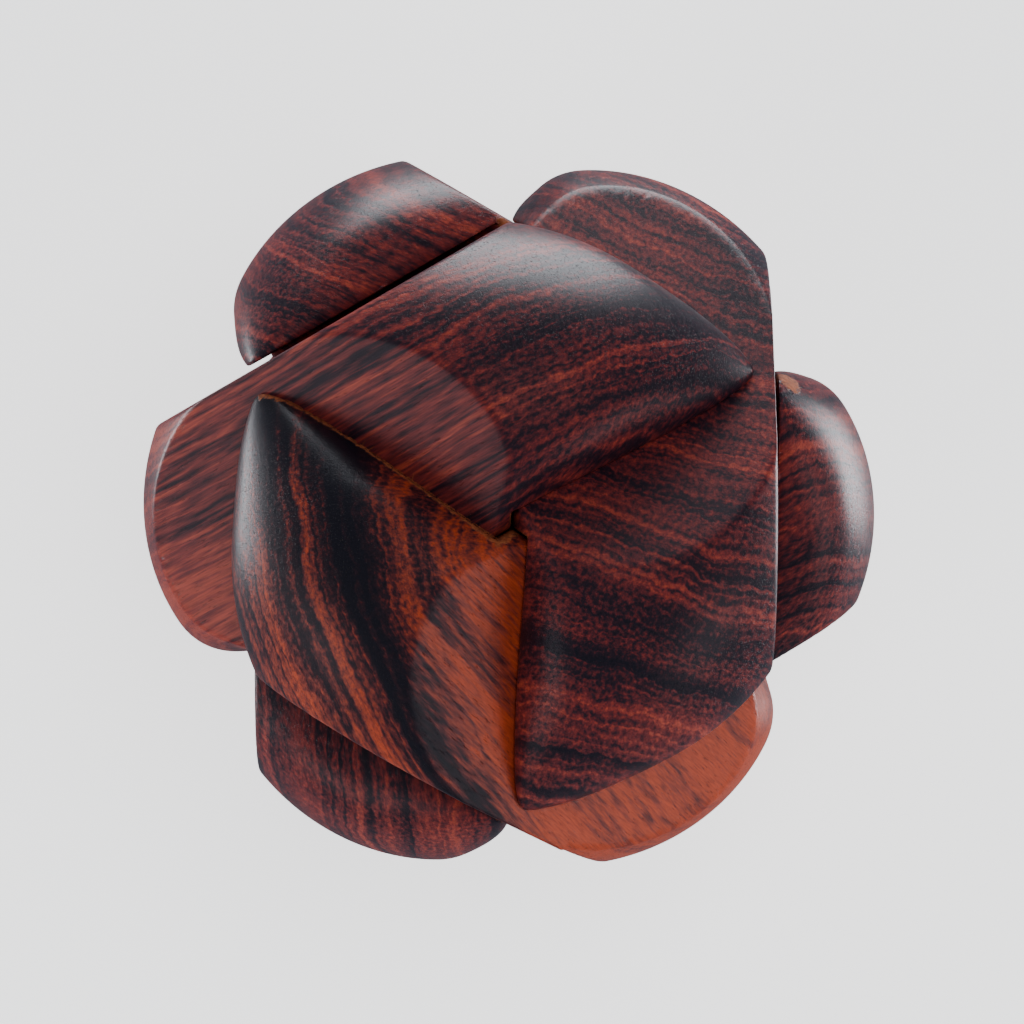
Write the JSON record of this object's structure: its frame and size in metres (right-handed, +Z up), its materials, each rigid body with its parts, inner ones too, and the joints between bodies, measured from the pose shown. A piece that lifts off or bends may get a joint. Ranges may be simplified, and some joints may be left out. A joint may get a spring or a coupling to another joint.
{
  "type": "diagonal burr puzzle",
  "caption": "Wooden burr puzzle: equal square sticks, each with a pair of V-notches and rounded ends, lock diagonally into a lobed star that pulls apart along its diagonals.",
  "frame": {"origin": "centre of the assembled star, where the centre lines of all the sticks' inner edges cross", "axes": "+Z up the axis on which the upper three sticks lift off together, with the star standing on three lobes of the lower ones; +X towards the lobe of the lower right stick that points straight out; +Y towards the upper lobe that the upper left stick carries"},
  "size_m": [0.077, 0.0734, 0.0702],
  "materials": {
    "rosewood": "sanded and oiled to a soft sheen, dark red-brown with purple-black grain bands; sawn notch faces left raw",
    "orange_rosewood": "sanded and oiled to a soft sheen, orange-brown with dark curved grain bands; sawn notch faces left raw"
  },
  "bodies": {
    "upper_front": {"upper_front_stick": "orange_rosewood"},
    "upper_right": {"upper_right_stick": "rosewood"},
    "upper_left": {"upper_left_stick": "rosewood"},
    "lower_back": {"lower_back_stick": "rosewood"},
    "lower_left": {"lower_left_stick": "rosewood"},
    "lower_right": {"lower_right_stick": "rosewood"}
  },
  "joints": [
    {"name": "left_pull", "type": "slide", "parent": "lower_back", "child": "lower_left", "axis": [-0.8165, -0.4714, 0.3333], "range_m": [0, 0.07]},
    {"name": "right_pull", "type": "slide", "parent": "lower_back", "child": "lower_right", "axis": [0.8165, -0.4714, 0.3333], "range_m": [0, 0.07]},
    {"name": "top_lift", "type": "slide", "parent": "lower_right", "child": "upper_right", "axis": [0, 0, 1], "range_m": [0, 0.07]},
    {"name": "front_pull", "type": "slide", "parent": "upper_right", "child": "upper_front", "axis": [-0.8165, -0.4714, 0.3333], "range_m": [0, 0.07]},
    {"name": "left_lift", "type": "slide", "parent": "lower_left", "child": "upper_left", "axis": [0, 0, 1], "range_m": [0, 0.07]}
  ],
  "couplings": [
    {"joint": "front_pull", "follows": "left_pull", "ratio": 1},
    {"joint": "left_lift", "follows": "top_lift", "ratio": 1}
  ]
}
